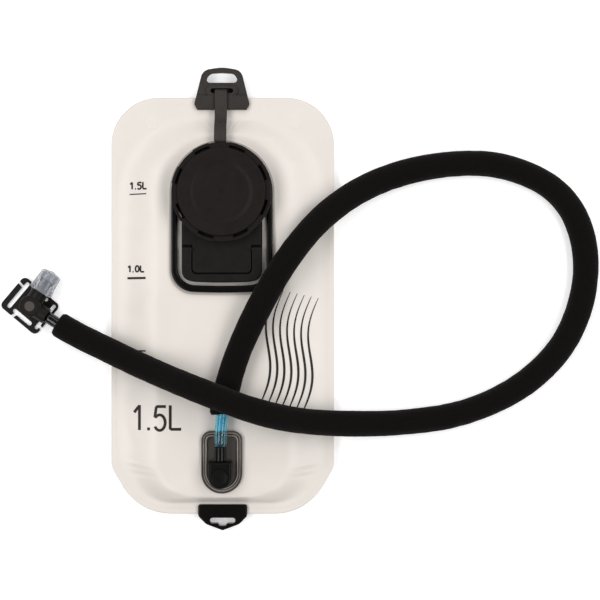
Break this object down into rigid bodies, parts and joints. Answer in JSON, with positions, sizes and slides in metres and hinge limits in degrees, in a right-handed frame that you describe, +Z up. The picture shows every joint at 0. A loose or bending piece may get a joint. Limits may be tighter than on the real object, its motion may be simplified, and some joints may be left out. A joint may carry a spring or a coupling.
{
  "type": "hydration bladder",
  "caption": "Flat translucent drinking-water bladder with a screw fill cap, folding handle, hangers, quick-release outlet and an insulated drink hose with a bite valve.",
  "frame": {"origin": "on the floor, under the middle of the bag with its two hangers", "axes": "+Z up out of the fill-port side, +Y towards the top hanger"},
  "size_m": [0.4785, 0.3703, 0.0555],
  "materials": {
    "bag_film": "milky translucent welded film, satin",
    "smoke_flange": "smoky translucent film flange, glossy",
    "gloss_black": "glossy black moulding",
    "satin_black": "satin moulded black with fine spark texture",
    "cap_black": "matte moulded black",
    "hanger_black": "satin grey-black moulding",
    "strap_rubber": "flexible moulded strap",
    "seal_rubber": "soft seal rubber",
    "pin_steel": "stainless steel",
    "blue_tube": "clear blue tube, glossy",
    "sleeve_fabric": "black knit over foam, stitched along its length",
    "grey_plastic": "grey moulded disc",
    "blue_clear": "clear blue moulding",
    "clear_silicone": "clear silicone"
  },
  "bodies": {
    "bag": {"rear_film": "bag_film", "front_film": "bag_film", "fill_port_skirt": "smoke_flange", "fill_port_rim": "gloss_black", "fill_port_plate": "satin_black", "handle_pins": "pin_steel", "tether_strap": "strap_rubber", "top_hanger": "hanger_black", "bottom_hanger": "gloss_black", "outlet_flange": "smoke_flange", "outlet_housing": "satin_black", "button_spring": "pin_steel"},
    "tether": {"tether_ring": "satin_black"},
    "cap": {"cap_shell": "cap_black", "cap_seal": "seal_rubber"},
    "handle": {"carry_handle": "satin_black"},
    "button": {"release_button": "satin_black", "latch_plate": "pin_steel"},
    "hose": {"hose_connector": "gloss_black", "connector_o_ring": "seal_rubber", "drink_tube": "blue_tube", "tube_sleeve": "sleeve_fabric", "valve_elbow": "satin_black", "elbow_plug": "grey_plastic"},
    "valve": {"bite_valve": "clear_silicone", "valve_stem": "blue_clear", "stem_o_ring": "seal_rubber"},
    "clip": {"strap_clip": "satin_black"}
  },
  "joints": [
    {"name": "cap_rise", "type": "slide", "parent": "bag", "child": "tether", "axis": [0, 0, 1], "range_m": [0, 0.012], "deforming": ["tether_strap"]},
    {"name": "cap_turn", "type": "hinge", "parent": "tether", "child": "cap", "pos_m": [-0.0001, 0.0845, 0.03], "axis": [0, 0, 1], "range_deg": [0, 540]},
    {"name": "handle_fold", "type": "hinge", "parent": "bag", "child": "handle", "pos_m": [-0.0001, 0.039, 0.0229], "axis": [-1, 0, 0], "range_deg": [0, 90]},
    {"name": "button_press", "type": "slide", "parent": "bag", "child": "button", "axis": [0, 0, -1], "range_m": [0, 0.0012], "stiffness_N_per_m": 800, "springref_m": -0.003, "deforming": ["button_spring"]},
    {"name": "connector_pull", "type": "slide", "parent": "bag", "child": "hose", "axis": [0, 1, 0], "range_m": [0, 0.012]},
    {"name": "valve_swivel", "type": "hinge", "parent": "hose", "child": "valve", "pos_m": [-0.1531, -0.0058, 0.0129], "axis": [0.5446, 0.8387, 0], "continuous": true},
    {"name": "clip_swivel", "type": "hinge", "parent": "hose", "child": "clip", "pos_m": [-0.1531, -0.0058, 0.002], "axis": [0, 0, 1], "continuous": true}
  ],
  "couplings": [
    {"joint": "cap_rise", "follows": "cap_turn", "m_per_rad": 0.0012732}
  ]
}
